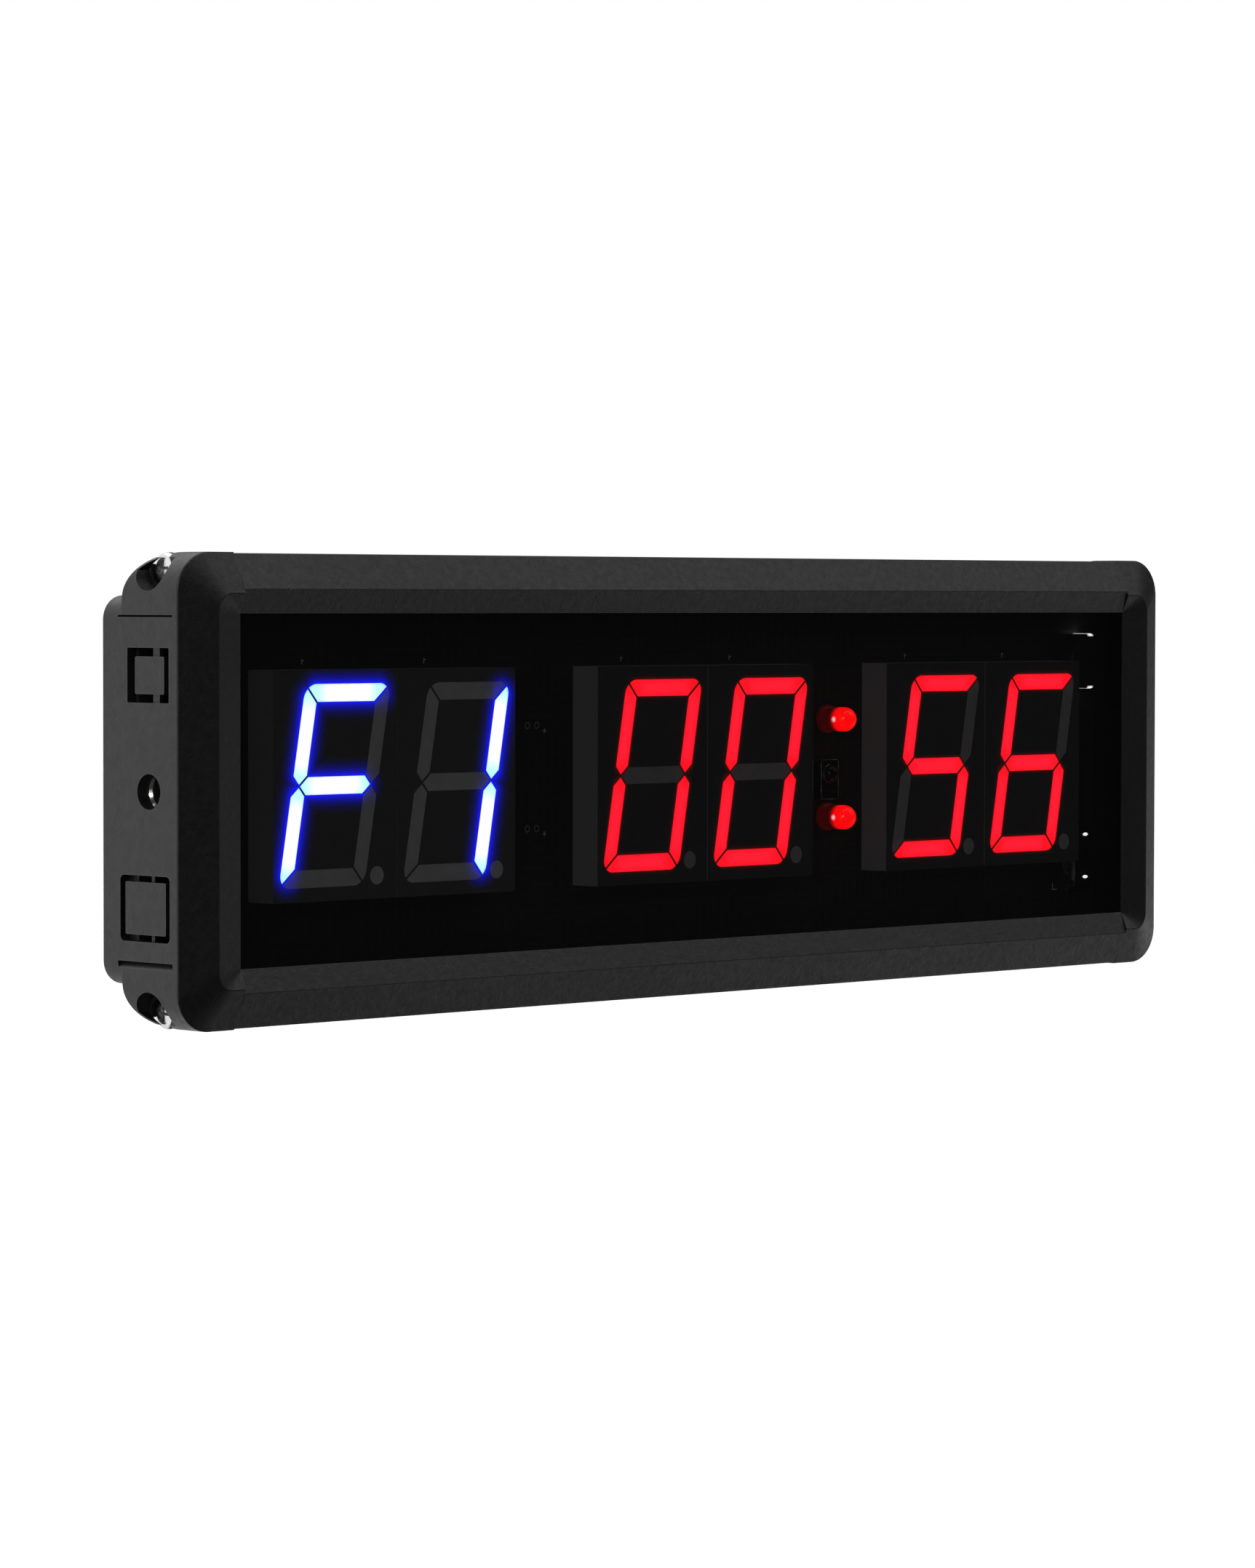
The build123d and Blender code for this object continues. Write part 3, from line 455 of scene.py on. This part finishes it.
def solder_mask(name):
    """Near-black solder mask, with copper runs and vias standing a little proud under it."""
    g = Graph(name, Specular_IOR_Level=0.5)
    across = g.add("TexWave", {"Vector": g.position, "Scale": 190.0, "Distortion": 0.0},
                   bands_direction="Z").outputs["Fac"]
    along = g.add("TexWave", {"Vector": g.position, "Scale": 150.0, "Distortion": 0.0},
                  bands_direction="X").outputs["Fac"]
    areas = g.spread(g.noise(9 * MM, detail=0.0), 0.0, 1.0, 0.49, 0.51)
    runs = g.spread(g.mix(areas, across, along), 0.0, 1.0, 0.55, 0.65)
    vias = g.spread(g.cells(4.2 * MM), 1.0, 0.0, 0.10, 0.13)
    copper = g.calc("MAXIMUM", runs, vias)
    weave = g.noise(0.5 * MM)
    mask = g.mix(weave, (0.022, 0.024, 0.023), (0.034, 0.036, 0.034))
    g.feed(Base_Color=g.mix(copper, mask, (0.034, 0.037, 0.035)),
           Roughness=g.spread(weave, 0.28, 0.40))
    g.bump((weave, 0.004 * MM), (copper, 0.012 * MM))
    return g.material


def chip_epoxy(name):
    """Dull moulded epoxy with a fine filler grain."""
    g = Graph(name, Specular_IOR_Level=0.4)
    filler = g.noise(0.08 * MM, detail=4.0)
    swirl = g.noise(3 * MM)
    g.feed(Base_Color=g.mix(filler, (0.014, 0.014, 0.015), (0.034, 0.034, 0.035)),
           Roughness=g.calc("ADD", g.spread(filler, 0.45, 0.62), g.spread(swirl, 0.0, 0.1)))
    g.bump((filler, 0.010 * MM))
    return g.material


def fired_ceramic(name):
    """Brown ceramic chip with tinned ends."""
    g = Graph(name)
    body = g.noise(0.2 * MM, detail=3.0)
    ends = g.spread(g.edges(0.45 * MM, gain=2.0), 0.0, 1.0, 0.3, 0.5)
    brown = g.mix(body, (0.30, 0.20, 0.12), (0.40, 0.28, 0.18))
    g.feed(Base_Color=g.mix(ends, brown, (0.70, 0.70, 0.68)), Metallic=ends,
           Roughness=g.spread(body, 0.35, 0.5))
    g.bump((body, 0.006 * MM))
    return g.material


def metal(name, low, high, smooth, rough, grain, stretch=(1.0, 1.0, 1.0)):
    """Plated or bare metal: brushed along the axis that stretch shrinks, stained a little."""
    g = Graph(name, Metallic=1.0)
    brush = g.noise(grain, detail=4.0, stretch=stretch)
    stain = g.noise(6 * MM, detail=3.0)
    worn = g.edges(0.2 * MM)
    tone = g.mix(g.spread(stain, 0.0, 1.0, 0.35, 0.65), low, high)
    g.feed(Base_Color=g.mix(worn, tone, high),
           Roughness=g.calc("ADD", g.spread(brush, smooth, rough, 0.3, 0.7), g.spread(stain, 0.0, 0.08)))
    g.bump((brush, 0.003 * MM))
    return g.material


def zinc_plate(name):
    """Bright zinc on pressed steel: spangled, with drawing marks along its length."""
    g = Graph(name, Metallic=1.0)
    spangle = g.add("TexVoronoi", {"Vector": g.position, "Scale": 1 / (2.4 * MM)}).outputs["Color"]
    facet = g.add("SeparateColor", {0: spangle}).outputs[0]
    drawn = g.noise(0.25 * MM, detail=4.0, stretch=(0.05, 1.0, 1.0))
    worn = g.edges(0.3 * MM)
    tone = g.mix(facet, (0.46, 0.47, 0.49), (0.64, 0.65, 0.66))
    g.feed(Base_Color=g.mix(worn, tone, (0.78, 0.78, 0.78)),
           Roughness=g.calc("ADD", g.spread(drawn, 0.22, 0.40, 0.3, 0.7), g.spread(facet, 0.0, 0.08)))
    g.bump((facet, 0.002 * MM), (drawn, 0.006 * MM))
    return g.material


def receiver_epoxy(name):
    """Nearly black, glossy epoxy; a painted highlight, pale colour and emission, runs along its sharp mould
    edges.
    """
    g = Graph(name, Specular_IOR_Level=0.5)
    swirl = g.noise(0.8 * MM, detail=3.0)
    broken = g.spread(g.noise(1.5 * MM), 0.2, 1.0, 0.4, 0.6)
    # Painted highlight: pale colour and emission on the mould edges
    painted_glint = g.calc("MULTIPLY", g.edges(0.15 * MM, gain=4.0), broken)
    tone = g.mix(swirl, (0.010, 0.008, 0.010), (0.016, 0.012, 0.016))
    g.feed(Base_Color=g.mix(painted_glint, tone, (0.5, 0.5, 0.5)),
           Roughness=g.spread(swirl, 0.10, 0.22), Emission_Strength=g.calc("MULTIPLY", painted_glint, 0.30))
    g.emits(WHITE)
    g.bump((swirl, 0.004 * MM))
    return g.material


def white_ink(name):
    """Screen-printed ink, a little broken up by the mask's weave; a faint glow is painted on it as
    emission, so it shows through the tinted sheet.
    """
    g = Graph(name)
    cover = g.spread(g.noise(0.25 * MM, detail=3.0), 0.0, 1.0, 0.35, 0.6)
    # Painted glow: the ink gives a faint light, though it is no lamp
    g.feed(Base_Color=g.mix(cover, (0.30, 0.30, 0.29), (0.60, 0.60, 0.58)),
           Roughness=g.spread(cover, 0.5, 0.7), Emission_Strength=g.spread(cover, 0.02, 0.09))
    g.emits(PAINTED_STRAY_COLOUR)
    g.bump((cover, 0.004 * MM))
    return g.material


# ---------------------------------------------------------------------------------------------
# A material for every CAD node

def give(material, *names):
    for name in names:
        nodes[name].data.materials.clear()
        nodes[name].data.materials.append(material)


give(coated_metal("case_powder_coat"), "body_extrusion")
give(moulded_plastic("cap_grained_plastic", (0.003, 0.003, 0.0034), (0.008, 0.008, 0.0084), 0.44,
                     0.40 * MM, 0.028 * MM, wear=0.035), "left_end_cap", "right_end_cap")
give(tinted_acrylic("tinted_acrylic"), "lens_panel")
for n in DIGITS:
    give(digit_housing(f"digit_{n}_inked_plastic", n), f"digit_{n}_housing")
    give(lit_bar(f"digit_{n}_lit_epoxy", n), f"digit_{n}_lit_segments")
    give(unlit_bar(f"digit_{n}_unlit_epoxy", n), f"digit_{n}_unlit_segments")
give(red_lamp("red_lamp_epoxy"), "upper_colon_lamp", "lower_colon_lamp")
give(receiver_epoxy("receiver_epoxy"), "remote_receiver")
give(solder_mask("black_solder_mask"), "main_circuit_board")
give(chip_epoxy("chip_epoxy"), "microcontroller", "display_driver_chips", "voltage_regulator",
     "chip_resistors", "power_inductor")
give(fired_ceramic("fired_ceramic"), "chip_capacitors")
give(metal("tinned_copper", (0.52, 0.52, 0.50), (0.72, 0.72, 0.70), 0.22, 0.38, 0.3 * MM),
     "display_pins", "colon_lamp_leads", "remote_receiver_leads", "microcontroller_pins",
     "display_driver_pins", "dc_jack_lugs")
give(metal("nickel_plate", (0.62, 0.61, 0.58), (0.82, 0.81, 0.79), 0.10, 0.20, 0.5 * MM),
     "quartz_crystal", "dc_jack_shell", "dc_jack_pin")
give(metal("cell_clip_plate", (0.55, 0.54, 0.52), (0.78, 0.77, 0.75), 0.12, 0.24, 0.4 * MM),
     "cell_clip")
give(metal("cell_steel", (0.50, 0.50, 0.50), (0.66, 0.66, 0.66), 0.20, 0.34, 0.3 * MM,
           stretch=(0.08, 1.0, 1.0)), "backup_cell")
give(moulded_plastic("buzzer_plastic", (0.012, 0.012, 0.012), (0.022, 0.022, 0.022), 0.34,
                     0.3 * MM, 0.010 * MM, painted_glints_on="buzzer"), "buzzer")
give(moulded_plastic("jack_plastic", (0.010, 0.010, 0.010), (0.020, 0.020, 0.020), 0.42,
                     0.3 * MM, 0.012 * MM), "dc_jack_body")
give(metal("bright_screw_plate", (0.55, 0.55, 0.56), (0.80, 0.80, 0.80), 0.10, 0.22, 0.4 * MM),
     "left_cap_screws", "right_cap_screws")
give(zinc_plate("hanger_zinc"), "left_hanger_plate", "right_hanger_plate")
give(metal("black_oxide", (0.035, 0.035, 0.038), (0.075, 0.075, 0.080), 0.34, 0.50, 0.25 * MM),
     "left_hanger_screws", "right_hanger_screws")


# ---------------------------------------------------------------------------------------------
# Printed marks, bare pads and pressed pips on the front of the board, as thin raised shapes

board_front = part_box("main_circuit_board")[0].y
spare_colon_heights = [middle(lamp).z for lamp in ("upper_colon_lamp", "lower_colon_lamp")]
spare_colon_x = (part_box("digit_2_housing")[1].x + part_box("digit_3_housing")[0].x) / 2


def new_object(name, made, material):
    """Object of one material from a finished bmesh."""
    mesh = bpy.data.meshes.new(name)
    made.to_mesh(mesh)
    made.free()
    mesh.materials.append(material)
    piece = bpy.data.objects.new(name, mesh)
    bpy.context.scene.collection.objects.link(piece)
    return piece


def new_piece(name, mesh_builder, material):
    """Object built by a bmesh function, riding on the case."""
    made = bmesh.new()
    mesh_builder(made)
    bmesh.ops.recalc_face_normals(made, faces=made.faces)
    piece = new_object(name, made, material)
    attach(piece, "case")


def circle(sides):
    """Cosine and sine of evenly spaced turns."""
    turns = [2 * math.pi * n / sides for n in range(sides)]
    return [(math.cos(turn), math.sin(turn)) for turn in turns]


def join(made, first, second):
    """Faces between two closed rows of as many points."""
    for n in range(len(first)):
        made.faces.new((first[n - 1], first[n], second[n], second[n - 1]))


def bar_on_board(made, x, z, length, height):
    """Flat printed bar, centred at x and z, that stands on the board's front."""
    signs = ((-1, -1), (1, -1), (1, 1), (-1, 1))
    corners = [(x + sx * length / 2, z + sz * height / 2) for sx, sz in signs]
    rows = [[made.verts.new((cx, y, cz)) for cx, cz in corners]
            for y in (board_front, board_front - INK_RISE)]
    made.faces.new(rows[0])
    made.faces.new(rows[1])
    join(made, *rows)


def printed_marks(made):
    """A tick over each digit, plus signs at the spare colon and corners round the end parts."""
    for n in DIGITS:
        housing = f"digit_{n}_housing"
        x, z = middle(housing).x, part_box(housing)[1].z
        bar_on_board(made, x + TICK_UPRIGHT[0], z + TICK_UPRIGHT[1], INK_STROKE, TICK_HEIGHT)
        bar_on_board(made, x + TICK_LEVEL[0], z + TICK_LEVEL[1], TICK_WIDTH, INK_STROKE)
    for z in spare_colon_heights:
        for length, height in ((PLUS_SIZE, INK_STROKE), (INK_STROKE, PLUS_SIZE)):
            bar_on_board(made, spare_colon_x + PLUS_PLACE[0], z + PLUS_PLACE[1], length, height)
    for node in ("buzzer", "backup_cell"):
        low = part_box(node)[0]
        x, z = low.x - CORNER_INSET, low.z - CORNER_INSET
        bar_on_board(made, x + CORNER_SIZE / 2, z, CORNER_SIZE, INK_STROKE)
        bar_on_board(made, x, z + CORNER_SIZE / 2, INK_STROKE, CORNER_SIZE)


def bare_pads(made):
    """Tinned rings of the spare colon, which has no lamps fitted."""
    section = ((PAD_OUTER, 0.0), (PAD_OUTER, INK_RISE), (PAD_INNER, INK_RISE), (PAD_INNER, 0.0))
    for z in spare_colon_heights:
        for side in (-1, 1):
            x = spare_colon_x + side * PAD_HALF_SPACING
            rows = [[made.verts.new((x + radius * c, board_front - rise, z + radius * s))
                     for c, s in circle(PAD_SIDES)] for radius, rise in section]
            for first, second in zip(rows, rows[1:] + rows[:1]):
                join(made, first, second)


def clip_pips(made):
    """Two pips pressed into the strap of the cell clip; their tops carry a painted highlight."""
    low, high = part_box("cell_clip")
    x, y = high.x - PIP_INSET, low.y + PIP_SUNK
    for level in (-1, 1):
        z = (low.z + high.z) / 2 + level * PIP_HEIGHT
        rows = [[made.verts.new((x + out * PIP_WIDE * c, y - rise * PIP_RISE, z + out * PIP_TALL * s))
                 for c, s in circle(PIP_SIDES)] for out, rise in PIP_SHAPE]
        made.faces.new(rows[0])
        made.faces.new(rows[-1])
        for first, second in zip(rows, rows[1:]):
            join(made, first, second)


def pip_painted_highlight_metal(name):
    """Burnished tops with a bright painted highlight, as emission."""
    g = Graph(name, Metallic=1.0)
    brush = g.noise(0.2 * MM, detail=4.0)
    # Painted highlight: white emission over the whole pip
    g.feed(Base_Color=g.mix(brush, (0.70, 0.69, 0.67), (0.86, 0.85, 0.83)),
           Roughness=g.spread(brush, 0.10, 0.25), Emission_Strength=g.spread(brush, 2.4, 3.4))
    g.emits(WHITE)
    g.bump((brush, 0.003 * MM))
    return g.material


new_piece("board_printed_marks", printed_marks, white_ink("white_ink"))
new_piece("cell_clip_pips", clip_pips, pip_painted_highlight_metal("pip_painted_highlight_metal"))
new_piece("board_bare_pads", bare_pads,
          metal("tinned_pads", (0.50, 0.50, 0.48), (0.70, 0.70, 0.68), 0.25, 0.40, 0.2 * MM))


# ---------------------------------------------------------------------------------------------
# Stage: pale floor, studio surroundings, camera

def pale_floor():
    """Round floor that starts below the wall-hung object and runs back behind it."""
    g = Graph("pale_floor", Specular_IOR_Level=0.1)
    mottle = g.noise(0.4)
    g.feed(Base_Color=g.mix(mottle, (0.94, 0.94, 0.94), (0.96, 0.96, 0.96)),
           Roughness=g.spread(mottle, 0.8, 0.9))
    made = bmesh.new()
    reaches = [FLOOR_RADIUS * (n + 1) / FLOOR_RINGS for n in range(FLOOR_RINGS)]
    rows = [[made.verts.new((FLOOR_CENTRE + reach * c, FLOOR_CENTRE + reach * s, FLOOR_Z))
             for c, s in circle(FLOOR_SIDES)] for reach in reaches]
    made.faces.new(rows[0])
    for inner, outer in zip(rows, rows[1:]):
        join(made, inner, outer)
    floor = new_object("floor", made, g.material)


def studio_surroundings():
    """White all round for the camera; what lights the object is a white backdrop behind it, a large
    soft source above and a dim room in front."""
    world = bpy.data.worlds.new("studio")
    bpy.context.scene.world = world
    world.use_nodes = True
    tree = world.node_tree
    tree.nodes.clear()

    def add(kind, inputs=None, **settings):
        return add_node(tree, kind, inputs, **settings)

    direction = add("TexCoord").outputs["Generated"]

    def lobe(towards, start, full, strength):
        """Light from round one direction, from the cosine where it starts to where it is full."""
        facing = add("VectorMath", {0: direction, 1: tuple(Vector(towards).normalized())},
                     operation="DOT_PRODUCT").outputs["Value"]
        inputs = {"Value": facing, "From Min": start, "From Max": full,
                  "To Min": 0.0, "To Max": strength}
        return add("MapRange", inputs, interpolation_type="SMOOTHSTEP").outputs["Result"]

    level = ROOM_LEVEL
    for towards, start, full, strength in STUDIO_LOBES:
        level = add("Math", {0: level, 1: lobe(towards, start, full, strength)}, operation="ADD").outputs[0]
    seen = add("Background", {"Color": (*WHITE, 1.0), "Strength": 1.0})
    lighting = add("Background", {"Color": (*WHITE, 1.0), "Strength": level})
    to_camera = add("LightPath").outputs["Is Camera Ray"]
    mixed = add("MixShader", {0: to_camera, 1: lighting.outputs[0], 2: seen.outputs[0]})
    tree.links.new(mixed.outputs[0], add("OutputWorld").inputs["Surface"])


def place_camera():
    """Camera at the height of the case, in front of its left end, looking at it from 45 degrees."""
    camera = bpy.data.objects.new("camera", bpy.data.cameras.new("camera"))
    bpy.context.scene.collection.objects.link(camera)
    heading, dip, roll = (math.radians(a) for a in CAMERA_ANGLES)
    forward = Vector((math.sin(heading) * math.cos(dip), math.cos(heading) * math.cos(dip), -math.sin(dip)))
    level_right = Vector((math.cos(heading), -math.sin(heading), 0))
    level_down = forward.cross(level_right)
    right = level_right * math.cos(roll) + level_down * math.sin(roll)
    up = level_right * math.sin(roll) - level_down * math.cos(roll)
    turn = Matrix((right, up, -forward)).transposed().to_4x4()
    camera.matrix_world = Matrix.Translation(CAMERA_PLACE) @ turn
    camera.data.lens = CAMERA_LENS
    camera.data.sensor_width = CAMERA_SENSOR
    camera.data.clip_start, camera.data.clip_end = CAMERA_CLIP
    bpy.context.scene.camera = camera


pale_floor()
studio_surroundings()
place_camera()
bpy.context.scene.view_settings.view_transform = "Standard"
